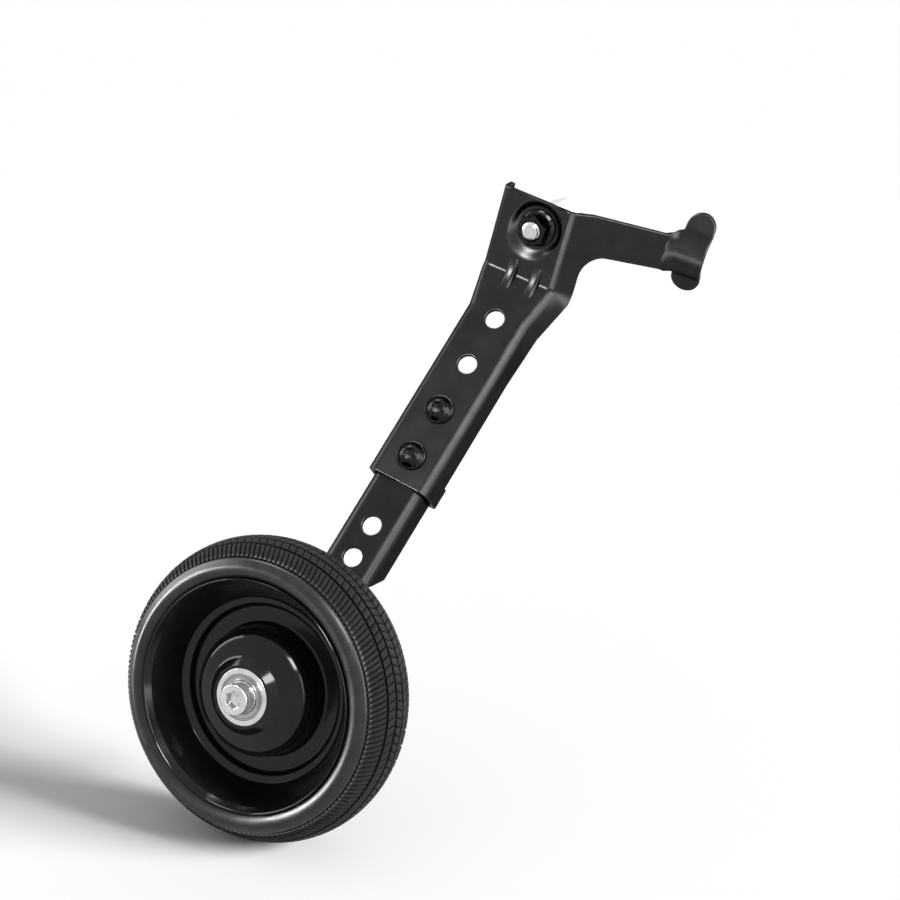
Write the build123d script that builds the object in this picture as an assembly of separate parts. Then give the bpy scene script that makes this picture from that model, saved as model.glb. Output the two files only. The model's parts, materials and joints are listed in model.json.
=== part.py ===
from build123d import *
import os
from math import cos, radians, sin, sqrt, tan

# A right-hand bicycle training wheel: a folded bracket held on the rear axle, a telescoping
# channel arm bolted in it, and a cambered wheel on two ball bearings.
# Frame: +X is the way the bicycle goes, -Y is outward, +Z is up. The origin is the mouth of the
# coupler that screws on to the bicycle's axle. Sizes are millimetres and degrees.

# Bracket plate
rake = 15.6
sheet = 3.0
plate_top = 15.5
plate_rear = 25.0
plate_bend_start = 14.3
plate_bend = 8.0
rear_bend = 4.5
plate_rear_depth = 10.0
crease_drop = 29.3
crease_radius = 4.0
axle_slack = 0.5
dish_room = 3.0
dish_flare = 5.0
dish_depth = 2.2
dish_round = 1.6

# Sleeve channel below the crease
arm_slope = 39.8
arm_skew = 2.2
arm_shift = -1.6
sleeve_half = 18.75
sleeve_bend = 6.0
sleeve_tail = 15.5
neck_end = 24.0
neck_depth = 14.0
neck_lean = 70.0
straight_start = 52.0
adjust_slack = 2.5
first_hole = 26.9
hole_pitch = 29.0
hole_count = 4
rib_leg = 9.0
rib_width = 6.0
rib_offset = 7.0
rib_round = 2.2
keeper_length = 12.0
keeper_lip = 4.5
keeper_gap = 0.3
keeper_reach = 2.0

# Stabiliser arm and chain-stay saddle
wing_turn = 46.0
wing_depth = 9.5
strip_length = 55.0
strip_width = 20.5
strip_root = 22.5
strip_fall = 5.6
strip_fillet = 12.0
stay_yaw = 8.0
stay_bore = 24.0
saddle_turn = 58.0
saddle_gap = 6.0
saddle_rise = 1.5
saddle_width = 16.0
saddle_height = 45.0
ear_bend = 6.0
ear_lean = 22.0
ear_length = 14.0

# Lower arm
arm_sheet = 3.0
arm_side_gap = 0.35
arm_bend = 6.5
arm_depth = 19.0
arm_lead = 14.0
spare_drop = 26.5
spare_pitch = 19.5
spare_count = 2
foot_drop = 10.6
flange_taper = 10.0
foot_bend = 8.0
foot_length = 63.7
foot_shift = 3.0
foot_radius = 16.0
foot_slack = 0.2

# Wheel
camber = 13.0
wheel_diameter = 160.0
tread_half = 17.5
crown_drop = 4.0
shoulder_drop = 7.0
shoulder_round = 0.5
tyre_proud = 0.6
bulge_rise = 4.2
sidewall_round = 1.1
bead_fall = 1.8
bead_round = 0.6
groove_count = 5
groove_width = 1.0
groove_reach = 0.8
tread_depth = 1.3
slot_count = 56
slot_width = 1.2
slot_slant = 24.0
slot_share = 0.33
tyre_gap = 0.1
tyre_height = 21.1
rim_half = 23.7
lip_rise = 1.9
lip_width = 4.2
lip_wall = 1.3
lip_fall = 0.9
barrel_wall = 3.0
mouth_depth = 6.3
mouth_round = 3.0
barrel_slope = 7.4
ledge_height = 3.5
ledge_width = 4.2
ledge_round = 2.0
step_round = 1.5
floor_height = -1.0
floor_width = 10.5
floor_round = 2.0
dome_taper = 1.0
dome_height = 15.5
dome_round = 7.0
crown_rise = 4.5
collar_round = 3.0
hub_wall = 2.5
hub_edge = 1.2
web = 4.0
spoke_count = 8
spoke_sheet = 3.0
spoke_drop = 15.0
spoke_bite = 0.8

# Ball bearings
bore = 10.0
bearing_outside = 30.0
bearing_width = 9.0
hub_half = 24.0
inner_shoulder = 16.5
outer_shoulder = 24.0
ball = 4.76
ball_count = 8
ball_gap = 0.1
shield_sheet = 0.5
shield_inset = 0.4
shield_gap = 0.3
cage_wall = 1.4
cage_width = 6.2
seat_gap = 0.05

# Wheel axle
bolt_slip = 0.05
bolt_head = 16.0
bolt_head_height = 8.0
bolt_key = 8.0
bolt_key_depth = 5.0
bolt_edge = 0.8
spacer_wall = 2.5
bush_diameter = 16.0
bush_length = 7.0
lock_washer_diameter = 20.0
lock_washer_sheet = 2.0
lock_nut_flats = 17.0
lock_nut_height = 7.0
lock_nut_collar = 3.0
bolt_past_nut = 1.5

# Bicycle axle coupler and nut
stud = 10.0
stud_past_nut = 1.4
stud_chamfer = 1.0
coupler_flats = 17.0
coupler_length = 34.0
coupler_bore = 9.0
coupler_bore_depth = 22.0
axle_nut_flats = 15.0
axle_nut_flange = 20.0
axle_nut_flange_height = 2.6
axle_nut_height = 10.0
thread_slip = 0.1

# Clamp fasteners
free_hole_count = 2
clamp_bolt = 8.0
clamp_head = 14.0
clamp_head_height = 4.4
clamp_key = 5.0
clamp_key_depth = 2.8
clamp_past_nut = 4.3
clamp_washer = 16.0
washer_slack = 0.4
clamp_washer_sheet = 1.6
clamp_nut_flats = 13.0
clamp_nut_height = 6.5
nut_chamfer = 0.6

# Sizes that follow from those they fit
axle_hole = stud + axle_slack
dish_floor = axle_nut_flange + dish_room
dish_mouth = dish_floor + dish_flare
adjust_hole = clamp_bolt + adjust_slack
washer_hole = clamp_bolt + washer_slack
hole_drops = [first_hole + index * hole_pitch for index in range(hole_count)]
clamp_drops = hole_drops[free_hole_count:]
sleeve_length = hole_drops[-1] + sleeve_tail
sleeve_depth = sheet + arm_depth - keeper_reach
spare_drops = [sleeve_length + spare_drop + index * spare_pitch for index in range(spare_count)]
arm_top = clamp_drops[0] - arm_lead
foot_corner = spare_drops[-1] + foot_drop
foot_hole = bore + foot_slack
hub_radius = bearing_outside / 2 + hub_wall
tyre_seat = wheel_diameter / 2 - tyre_height
lip_radius = tyre_seat + lip_rise
tyre_half = rim_half + tyre_proud
bulge_radius = lip_radius + bulge_rise
mouth_radius = tyre_seat - barrel_wall
mouth_height = rim_half - mouth_depth
ledge_radius = mouth_radius - barrel_slope
step_radius = ledge_radius - ledge_width
dome_radius = step_radius - floor_width
shoulder_radius = dome_radius - dome_taper
dome_top = dome_height + crown_rise

# Places that the pieces share
plate_reach = sheet + dish_depth + coupler_length
plate_across = (cos(radians(rake)), 0, -sin(radians(rake)))
plate_place = Location(Plane((0, -plate_reach, 0), plate_across, (0, -1, 0)))
crease_place = Pos(0, -crease_drop, 0) * Rot(-arm_slope, 0, 0)
skewed = Pos(arm_shift, 0, 0) * Rot(0, 0, -arm_skew)
slope_place = crease_place * skewed
sleeve_place = plate_place * slope_place
arm_place = sleeve_place * Pos(0, 0, -sheet)
sleeve_normal = Plane(sleeve_place).z_dir
wheel_axis = Vector(0, -cos(radians(camber)), sin(radians(camber)))
fold_line = sleeve_normal.cross(wheel_axis).normalized()
fold_turn = sleeve_normal.get_angle(wheel_axis)
fold_origin = (arm_place * Pos(0, -foot_corner, 0)).position
fold_place = Location(Plane(fold_origin, fold_line, sleeve_normal))
foot_place = Location(Plane(fold_origin, fold_line, wheel_axis))
foot_hole_place = foot_place * Pos(foot_shift, -foot_length, 0)
wheel_centre = foot_hole_place.position + wheel_axis * (hub_half + bush_length)
wheel_place = Location(Plane(wheel_centre, (1, 0, 0), wheel_axis))


def station(height):
    """The plane across a channel at this height, with x across and y outward."""
    return Plane((0, height, 0), (1, 0, 0), (0, -1, 0))


def bend_arc(centre, bend, radius, start, end):
    """An arc of a sheet bend about (centre, -bend), with angles turned from the outward side."""
    def point(turn):
        return (centre + radius * sin(radians(turn)), -bend + radius * cos(radians(turn)))
    return ThreePointArc(point(start), point((start + end) / 2), point(end))


def channel_section(rear, rear_round, front_start, bend, thick, rear_depth, front_depth, lean):
    """A folded channel: web outside at y = 0, rear flange square, front flange turned by lean."""
    rear_start = -rear + rear_round
    run = (front_depth - bend * (1 - cos(radians(lean)))) / sin(radians(lean))
    slope = Vector(run * cos(radians(lean)), -run * sin(radians(lean)))
    outer_rear = bend_arc(rear_start, rear_round, rear_round, -90, 0)
    outer_front = bend_arc(front_start, bend, bend, 0, lean)
    inner_front = bend_arc(front_start, bend, bend - thick, lean, 0)
    inner_rear = bend_arc(rear_start, rear_round, rear_round - thick, 0, -90)
    flange_outer = outer_front @ 1 + slope
    flange_inner = inner_front @ 0 + slope
    return make_face([
        Line((-rear, -rear_depth), outer_rear @ 0), outer_rear,
        Line(outer_rear @ 1, outer_front @ 0), outer_front,
        Line(outer_front @ 1, flange_outer), Line(flange_outer, flange_inner),
        Line(flange_inner, inner_front @ 0), inner_front,
        Line(inner_front @ 1, inner_rear @ 0), inner_rear,
        Line(inner_rear @ 1, (-rear + thick, -rear_depth)),
        Line((-rear + thick, -rear_depth), (-rear, -rear_depth)),
    ])


def ring(inner, outer, low, high):
    """A plain ring between two heights on the Z axis, by diameters."""
    sketch = Circle(outer / 2) - Circle(inner / 2)
    return extrude(Plane.XY.offset(low) * sketch, high - low)


def rod(diameter, low, high):
    """A plain rod between two heights on the Z axis."""
    return extrude(Plane.XY.offset(low) * Circle(diameter / 2), high - low)


def hex_prism(flats, low, high):
    """A hexagonal prism across these flats between two heights on the Z axis."""
    return extrude(Plane.XY.offset(low) * RegularPolygon(flats / 2, 6, major_radius=False), high - low)


def hex_nut(flats, low, high, hole, chamfered):
    """A hex nut with its corners turned down on the high side, and on both sides where asked."""
    corner = flats / 2 / cos(radians(30))
    flat = flats / 2
    foot = [(flat, low), (corner, low + nut_chamfer)] if chamfered else [(corner, low)]
    turned = make_face(Polyline((0, low), *foot, (corner, high - nut_chamfer), (flat, high), (0, high),
                                close=True))
    return (hex_prism(flats, low, high) & revolve(Plane.XZ * turned)) - rod(hole, low, high)


# Bracket: plate, crease, tapering neck and sleeve
crease_tangent = crease_radius * tan(radians(arm_slope) / 2)
plate_section = channel_section(plate_rear, rear_bend, plate_bend_start, plate_bend, sheet,
                                plate_rear_depth, wing_depth, wing_turn)
neck_section = channel_section(sleeve_half, sleeve_bend, sleeve_half - sleeve_bend, sleeve_bend, sheet,
                               neck_depth, neck_depth, neck_lean)
sleeve_section = channel_section(sleeve_half, sleeve_bend, sleeve_half - sleeve_bend, sleeve_bend, sheet,
                                 sleeve_depth, sleeve_depth, 90)
crease_start = crease_tangent - crease_drop
plate = extrude(station(plate_top) * plate_section, plate_top - crease_start)
crease = revolve(station(crease_start) * plate_section,
                 Axis((0, crease_start, crease_radius), (-1, 0, 0)), arm_slope)
neck = loft([station(-crease_tangent) * plate_section, skewed * (station(-neck_end) * neck_section)],
            ruled=True)
flare = loft([station(-neck_end) * neck_section, station(-straight_start) * sleeve_section], ruled=True)
sleeve = extrude(station(-straight_start) * sleeve_section, sleeve_length - straight_start)

# Keeper lips that fold under the lower arm's flanges at the sleeve's end
keeper_inside = sheet + arm_depth + keeper_gap
keeper_outside = keeper_inside + sheet
keeper_edge = sleeve_half - sheet - keeper_lip
keeper_sketch = make_face(Polyline(
    (sleeve_half, -sleeve_depth), (sleeve_half, -keeper_outside), (keeper_edge, -keeper_outside),
    (keeper_edge, -keeper_inside), (sleeve_half - sheet, -keeper_inside),
    (sleeve_half - sheet, -sleeve_depth), close=True))
keeper_corner = keeper_sketch.vertices().sort_by_distance((sleeve_half, -keeper_outside))[0]
keeper_sketch = fillet(keeper_corner, sheet)
front_keeper = extrude(station(keeper_length - sleeve_length) * keeper_sketch, keeper_length)
rear_keeper = mirror(front_keeper, Plane.YZ)

# Gusset ribs pressed across the crease
slope_y = -cos(radians(arm_slope))
slope_z = sin(radians(arm_slope))
rib_sketch = make_face(Polyline(
    (-crease_drop + rib_leg, 0), (-crease_drop + rib_leg * slope_y, rib_leg * slope_z),
    (-crease_drop + rib_leg * slope_y - sheet / 2 * slope_z, rib_leg * slope_z + sheet / 2 * slope_y),
    (-crease_drop, -sheet / 2), (-crease_drop + rib_leg, -sheet / 2), close=True))
rib = extrude(Plane.YZ * rib_sketch, rib_width / 2, both=True)
ridge_y = -crease_drop + rib_leg * (1 + slope_y) / 2
ridge_z = rib_leg * slope_z / 2
rib_ridge = [rib.edges().sort_by_distance((side * rib_width / 2, ridge_y, ridge_z))[0] for side in (-1, 1)]
rib = fillet(rib_ridge, rib_round)

# Stabiliser arm in the plane of the front wing
wing_place = Pos(plate_bend_start + plate_bend * sin(radians(wing_turn)), 0,
                 -plate_bend * (1 - cos(radians(wing_turn)))) * Rot(0, wing_turn, 0)
wing_run = (wing_depth - plate_bend * (1 - cos(radians(wing_turn)))) / sin(radians(wing_turn))
strip_middle = plate_top - strip_fall - strip_width / 2
strip_low = plate_top - strip_root
strip_sketch = make_face(Polyline(
    (0, plate_top), (wing_run, plate_top), (strip_length, strip_middle + strip_width / 2),
    (strip_length, strip_middle - strip_width / 2), (wing_run, strip_low),
    (wing_run, crease_start), (0, crease_start), close=True))
strip_corner = strip_sketch.vertices().sort_by_distance((wing_run, strip_low))[0]
strip_sketch = fillet(strip_corner, strip_fillet)
strip = wing_place * extrude(strip_sketch, -sheet)

# Saddle: a trough that bears on the chain stay, with an ear above and below
saddle_place = (wing_place * Pos(strip_length, strip_middle + saddle_rise, 0)
                * Rot(0, stay_yaw - wing_turn, 0))
trough_outer = stay_bore / 2 + sheet
across = Plane((0, 0, 0), (0, 1, 0), (1, 0, 0))
half_strip = strip_width / 2
strip_end = make_face(Polyline((-half_strip, 0), (half_strip, 0), (half_strip, -sheet),
                               (-half_strip, -sheet), close=True))
outer_arc = bend_arc(0, trough_outer, trough_outer, -saddle_turn, saddle_turn)
inner_arc = bend_arc(0, trough_outer, stay_bore / 2, saddle_turn, -saddle_turn)
trough_end = make_face([outer_arc, Line(outer_arc @ 1, inner_arc @ 0), inner_arc,
                        Line(inner_arc @ 1, outer_arc @ 0)])
blend = loft([wing_place * Pos(strip_length, strip_middle, 0) * (across * strip_end),
              saddle_place * Pos(saddle_gap, 0, 0) * (across * trough_end)], ruled=True)
trough_line = JernArc((0, -sheet / 2), (1, 0), trough_outer - sheet / 2, -saddle_turn)
ear_turn = JernArc(trough_line @ 1, trough_line % 1, ear_bend, saddle_turn - ear_lean)
ear_line = Line(ear_turn @ 1, ear_turn @ 1 + (ear_turn % 1) * ear_length)
half_saddle = trace([trough_line, ear_turn, ear_line], sheet)
saddle_sketch = half_saddle + mirror(half_saddle, Plane.YZ)
saddle_bar = extrude(across.offset(saddle_gap) * saddle_sketch, saddle_width)
saddle_outline = Pos(saddle_gap + saddle_width / 2, 0) * SlotOverall(saddle_height, saddle_width, 90)
saddle = saddle_place * (saddle_bar & extrude(saddle_outline, 2 * stay_bore, both=True))

# Dished axle seat, pressed through the plate
dish_press = revolve(Plane.XZ * make_face(Polyline(
    (0, 0), (dish_mouth / 2, 0), (dish_floor / 2, -dish_depth), (0, -dish_depth), close=True)))
dish_back = revolve(Plane.XZ * make_face(Polyline(
    (0, -sheet / 2), (dish_mouth / 2, -sheet / 2), (dish_mouth / 2, -sheet),
    (dish_floor / 2 + sheet / 2, -sheet - dish_depth), (0, -sheet - dish_depth), close=True)))

bracket = plate + crease + strip + blend + saddle + dish_back
bracket += crease_place * neck
bracket += slope_place * (flare + sleeve + front_keeper + rear_keeper)
for side in (-1, 1):
    bracket += Pos(side * rib_offset, 0, 0) * rib
bracket -= dish_press
bracket -= rod(axle_hole, -sheet - dish_depth, 0)
dish_rim = bracket.edges().filter_by(GeomType.CIRCLE).filter_by(
    lambda e: abs(e.radius - dish_mouth / 2) < 0.01 and abs(e.center().Z) < 0.01)
bracket = fillet(dish_rim, dish_round)
hole_tool = rod(adjust_hole, -sheet, 0)
for drop in hole_drops:
    bracket -= slope_place * Pos(0, -drop, 0) * hole_tool
mounting_bracket = plate_place * bracket

# Lower arm: a channel that slides in the sleeve, with its foot folded parallel to the wheel
arm_half = sleeve_half - sheet - arm_side_gap
fold_tangent = foot_bend * tan(radians(fold_turn) / 2)
arm_section = channel_section(arm_half, arm_bend, arm_half - arm_bend, arm_bend, arm_sheet,
                              arm_depth, arm_depth, 90)
arm_end = foot_corner + arm_half
arm_channel = extrude(station(-arm_top) * arm_section, arm_end - arm_top)
flange_cut = make_face(Polyline(
    (flange_taper - foot_corner, -arm_depth), (-arm_end, -arm_depth), (-arm_end, -arm_sheet),
    (-foot_corner, -arm_sheet), close=True))
arm_channel -= extrude(Plane.YZ * flange_cut, arm_half, both=True)
for drop in clamp_drops + spare_drops:
    arm_channel -= Pos(0, -drop, 0) * rod(adjust_hole, -arm_sheet, 0)
fold_half = arm_half / fold_line.dot(Plane(arm_place).x_dir)
past_fold = Pos(0, fold_tangent - arm_end, 0) * Box(4 * arm_half, 2 * arm_end, 4 * arm_depth)
lower_arm = arm_place * arm_channel - fold_place * past_fold
fold_face = make_face(Polyline((-fold_half, 0), (fold_half, 0), (fold_half, -arm_sheet),
                               (-fold_half, -arm_sheet), close=True))
fold = revolve(station(fold_tangent) * fold_face, Axis((0, fold_tangent, -foot_bend), (1, 0, 0)), fold_turn)
lower_arm += fold_place * fold
foot_root = Pos(0, -fold_tangent - arm_sheet / 2) * Rectangle(2 * fold_half, arm_sheet)
foot_end = Pos(foot_shift, -foot_length) * Circle(foot_radius)
foot = extrude(make_hull(foot_root.edges() + foot_end.edges()), -arm_sheet)
foot -= Pos(foot_shift, -foot_length, 0) * rod(foot_hole, -arm_sheet, 0)
lower_arm += foot_place * foot

# Coupler on the bicycle axle, with its stud through the plate
coupler_face = -sheet - dish_depth
coupler_back = coupler_face - coupler_length
coupler = hex_prism(coupler_flats, coupler_back, coupler_face)
stud_rod = rod(stud, coupler_face, axle_nut_height - dish_depth + stud_past_nut)
stud_rod = chamfer(stud_rod.edges().sort_by(Axis.Z)[-1], stud_chamfer)
coupler = coupler + stud_rod - rod(coupler_bore, coupler_back, coupler_back + coupler_bore_depth)
axle_extension = plate_place * coupler

# Flange nut in the dish
nut_low = -dish_depth
nut_hex = hex_nut(axle_nut_flats, nut_low, nut_low + axle_nut_height, stud + thread_slip, False)
nut_flange = ring(stud + thread_slip, axle_nut_flange, nut_low, nut_low + axle_nut_flange_height)
flange_edge = nut_flange.edges().filter_by(GeomType.CIRCLE).sort_by(SortBy.RADIUS)[-2:].sort_by(Axis.Z)[-1]
nut_flange = chamfer(flange_edge, axle_nut_flange_height / 2)
axle_nut = plate_place * (nut_hex + nut_flange)

# Clamp bolts, washers and nuts at two of the sleeve's holes
head_low = clamp_washer_sheet
dome_sag = (clamp_head / 2) ** 2 / (2 * clamp_head_height) + clamp_head_height / 2
head = rod(clamp_head, head_low, head_low + clamp_head_height)
head &= Pos(0, 0, head_low + clamp_head_height - dome_sag) * Sphere(dome_sag)
head -= hex_prism(clamp_key, head_low + clamp_head_height - clamp_key_depth, head_low + clamp_head_height)
back_face = -sheet - arm_sheet
washer_front = ring(washer_hole, clamp_washer, 0, clamp_washer_sheet)
washer_back = ring(washer_hole, clamp_washer, back_face - clamp_washer_sheet, back_face)
nut_top = back_face - clamp_washer_sheet
clamp_nut_end = nut_top - clamp_nut_height
nut_one = hex_nut(clamp_nut_flats, clamp_nut_end, nut_top, clamp_bolt + thread_slip, True)
clamp_one = head + rod(clamp_bolt, clamp_nut_end - clamp_past_nut, head_low)
clamp_places = [sleeve_place * Pos(0, -drop, 0) for drop in clamp_drops]
clamp_bolts = [place * clamp_one for place in clamp_places]
clamp_washers = [place * washer for place in clamp_places for washer in (washer_front, washer_back)]
clamp_nuts = [place * nut_one for place in clamp_places]

# Tyre: a solid rubber ring with full sidewalls, grooves round its crown and slots over its shoulders
crown = wheel_diameter / 2
tyre_bore = tyre_seat + tyre_gap
bead_side = rim_half - lip_width - tyre_gap
bead_radius = lip_radius + tyre_gap
tread_edge = (crown - crown_drop, tread_half - shoulder_drop / 2)
shoulder = (crown - shoulder_drop, tread_half)
bulge = (bulge_radius, tyre_half)
bead = (bead_radius, tyre_half - bead_fall)
tyre_half_line = [
    SagittaArc(tread_edge, shoulder, -shoulder_round),
    SagittaArc(shoulder, bulge, -sidewall_round),
    SagittaArc(bulge, bead, -bead_round),
    Polyline(bead, (bead_radius, bead_side), (tyre_bore, bead_side), (tyre_bore, 0)),
]
tyre_edges = [ThreePointArc((tread_edge[0], -tread_edge[1]), (crown, 0), tread_edge)]
for line in tyre_half_line:
    tyre_edges += line.edges() + mirror(line, Plane.XZ).edges()
crown_curve = (tread_edge[1] ** 2 + crown_drop ** 2) / (2 * crown_drop)
groove_heights = [tread_edge[1] * groove_reach * (2 * index / (groove_count - 1) - 1)
                  for index in range(groove_count)]
groove_radii = [crown - crown_curve + sqrt(crown_curve ** 2 - height ** 2) for height in groove_heights]
tyre_sketch = make_face(tyre_edges)
for radius, height in zip(groove_radii, groove_heights):
    tyre_sketch -= Pos(radius, height) * Rectangle(2 * tread_depth, groove_width)
slot_end = Vector(*shoulder) * (1 - slot_share) + Vector(*bulge) * slot_share
slot_end += Vector(sidewall_round, sidewall_round)
slot_sketch = make_face(Polyline(
    (groove_radii[-1] - tread_depth, groove_heights[-1]),
    (tread_edge[0] - tread_depth, tread_edge[1] - tread_depth / 2),
    (shoulder[0] - tread_depth / 2, shoulder[1] - tread_depth),
    slot_end, (crown + tread_depth, slot_end.Y), (crown + tread_depth, groove_heights[-1]), close=True))
slot = Pos(0, 0, tread_edge[1]) * Rot(slot_slant, 0, 0) * Pos(0, 0, -tread_edge[1]) * extrude(
    Plane.XZ * slot_sketch, slot_width / 2, both=True)
slots = [Rot(0, 0, 360 * index / slot_count) * tool
         for index in range(slot_count) for tool in (slot, mirror(slot, Plane.XY))]
tyre = wheel_place * (revolve(Plane.XZ * tyre_sketch) - slots)

# Rim: lip, barrel, step, domed web and hub in one moulding, with spokes behind
seat_radius = bearing_outside / 2 + seat_gap
seat_end = hub_half - bearing_width
lip_inside = lip_radius - lip_wall
lip_middle = lip_radius - lip_wall / 2
lip_height = rim_half - lip_fall
lip_foot = rim_half - lip_width
front_line = FilletPolyline(
    (hub_radius, hub_half - hub_edge), (hub_radius, dome_top), (shoulder_radius, dome_height),
    (dome_radius, floor_height), (step_radius, floor_height), (step_radius, ledge_height),
    (ledge_radius, ledge_height), (mouth_radius, mouth_height), (lip_inside, lip_height),
    radius=[collar_round, dome_round, floor_round, floor_round, step_round, ledge_round, mouth_round])
back_line = FilletPolyline(
    (mouth_radius, -mouth_height), (mouth_radius, floor_height - web),
    (dome_radius - web, floor_height - web), (shoulder_radius - web, dome_height - web),
    (hub_radius, dome_top - web), (hub_radius, hub_edge - hub_half),
    radius=[floor_round, floor_round, dome_round - web, collar_round])
rim_lines = [
    Line((hub_radius - hub_edge, hub_half), (hub_radius, hub_half - hub_edge)),
    front_line,
    ThreePointArc((lip_inside, lip_height), (lip_middle, rim_half), (lip_radius, lip_height)),
    Polyline((lip_radius, lip_height), (lip_radius, lip_foot), (tyre_seat, lip_foot),
             (tyre_seat, -lip_foot), (lip_radius, -lip_foot), (lip_radius, -lip_height)),
    ThreePointArc((lip_radius, -lip_height), (lip_middle, -rim_half), (lip_inside, -lip_height)),
    Line((lip_inside, -lip_height), (mouth_radius, -mouth_height)),
    back_line,
    Polyline((hub_radius, hub_edge - hub_half), (hub_radius - hub_edge, -hub_half),
             (seat_radius, -hub_half), (seat_radius, -seat_end),
             (outer_shoulder / 2, -seat_end), (outer_shoulder / 2, seat_end), (seat_radius, seat_end),
             (seat_radius, hub_half), (hub_radius - hub_edge, hub_half)),
]
rim_edges = [edge for line in rim_lines for edge in line.edges()]
rim_body = revolve(Plane.XZ * make_face(rim_edges))
spoke_outline = make_face(Polyline(
    (hub_radius - spoke_bite, -spoke_drop), (hub_radius - spoke_bite, dome_top - web / 2),
    (shoulder_radius - dome_round, dome_height - web / 2), (dome_radius - web / 2, floor_height - web / 2),
    (mouth_radius + spoke_bite, floor_height - web / 2), (mouth_radius + spoke_bite, -mouth_height),
    close=True))
spoke = extrude(Plane.XZ * spoke_outline, spoke_sheet / 2, both=True)
for index in range(spoke_count):
    rim_body += Rot(0, 0, 360 * index / spoke_count) * spoke
rim = wheel_place * rim_body

# Two shielded ball bearings
pitch_circle = (inner_shoulder + outer_shoulder) / 4
groove = revolve(Plane.XZ * Pos(pitch_circle, 0) * Circle(ball / 2 + ball_gap))
half_width = bearing_width / 2
outer_ring_one = ring(outer_shoulder, bearing_outside, -half_width, half_width) - groove
inner_ring_one = ring(bore, inner_shoulder, -half_width, half_width) - groove
ball_places = [Rot(0, 0, 360 * index / ball_count) * Pos(pitch_circle, 0, 0) for index in range(ball_count)]
ball_solids = [place * Sphere(ball / 2) for place in ball_places]
cage_one = ring(2 * pitch_circle - cage_wall, 2 * pitch_circle + cage_wall, -cage_width / 2, cage_width / 2)
for place in ball_places:
    cage_one -= place * Rot(0, 90, 0) * Cylinder(ball / 2 + ball_gap, 2 * cage_wall)
shield_out = half_width - shield_inset
shield_one = ring(inner_shoulder + 2 * shield_gap, outer_shoulder - 2 * seat_gap,
                  shield_out - shield_sheet, shield_out)
shield_pair = [shield_one, mirror(shield_one, Plane.XY)]

# Wheel axle stack
foot_face = -hub_half - bush_length
foot_back = foot_face - arm_sheet
washer_face = foot_back - lock_washer_sheet
nut_face = washer_face - lock_nut_height - lock_nut_collar
shank = bore - 2 * bolt_slip
bolt = rod(bolt_head, hub_half, hub_half + bolt_head_height)
bolt = chamfer(bolt.edges().sort_by(Axis.Z)[-1], bolt_edge)
bolt -= hex_prism(bolt_key, hub_half + bolt_head_height - bolt_key_depth, hub_half + bolt_head_height)
bolt += rod(shank, nut_face - bolt_past_nut, hub_half)
wheel_axle_bolt = wheel_place * bolt
bearing_spacer = wheel_place * ring(bore, bore + 2 * spacer_wall, -seat_end, seat_end)
foot_bush = wheel_place * ring(bore, bush_diameter, foot_face, -hub_half)
lock_washer = wheel_place * ring(bore, lock_washer_diameter, washer_face, foot_back)
lock_hex = hex_nut(lock_nut_flats, washer_face - lock_nut_height, washer_face, bore, True)
lock_collar = ring(bore, lock_nut_flats - 2 * nut_chamfer, nut_face, washer_face - lock_nut_height)
lock_nut = wheel_place * (lock_hex + lock_collar)

nodes = {
    "mounting_bracket": [mounting_bracket],
    "lower_arm": [lower_arm],
    "axle_extension": [axle_extension],
    "axle_nut": [axle_nut],
    "clamp_bolts": clamp_bolts,
    "clamp_washers": clamp_washers,
    "clamp_nuts": clamp_nuts,
    "tyre": [tyre],
    "rim": [rim],
    "bearing_spacer": [bearing_spacer],
    "wheel_axle_bolt": [wheel_axle_bolt],
    "foot_bush": [foot_bush],
    "lock_washer": [lock_washer],
    "lock_nut": [lock_nut],
}
for name, height in (("outer", hub_half - half_width), ("inner", half_width - hub_half)):
    bearing_place = wheel_place * Pos(0, 0, height)
    nodes[name + "_bearing_outer_ring"] = [bearing_place * outer_ring_one]
    nodes[name + "_bearing_inner_ring"] = [bearing_place * inner_ring_one]
    nodes[name + "_bearing_balls"] = [bearing_place * solid for solid in ball_solids]
    nodes[name + "_bearing_cage"] = [bearing_place * cage_one]
    nodes[name + "_bearing_shields"] = [bearing_place * solid for solid in shield_pair]

os.makedirs("parts", exist_ok=True)
for name, pieces in nodes.items():
    solids = [solid for piece in pieces for solid in piece.solids()]
    shape = solids[0] if len(solids) == 1 else Compound(children=solids)
    export_step(shape, "parts/" + name + ".step")
stay_place = plate_place * saddle_place * Pos(saddle_gap + saddle_width / 2, 0, -trough_outer)
print("wheel centre", wheel_centre, "wheel axis", wheel_axis)
print("chain stay centre", stay_place.position, "stay direction", Plane(stay_place).x_dir)
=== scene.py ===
import json
from math import atan2, cos, pi, radians, sin, sqrt, tan

import bmesh
import bpy
from mathutils import Matrix, Vector


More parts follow.
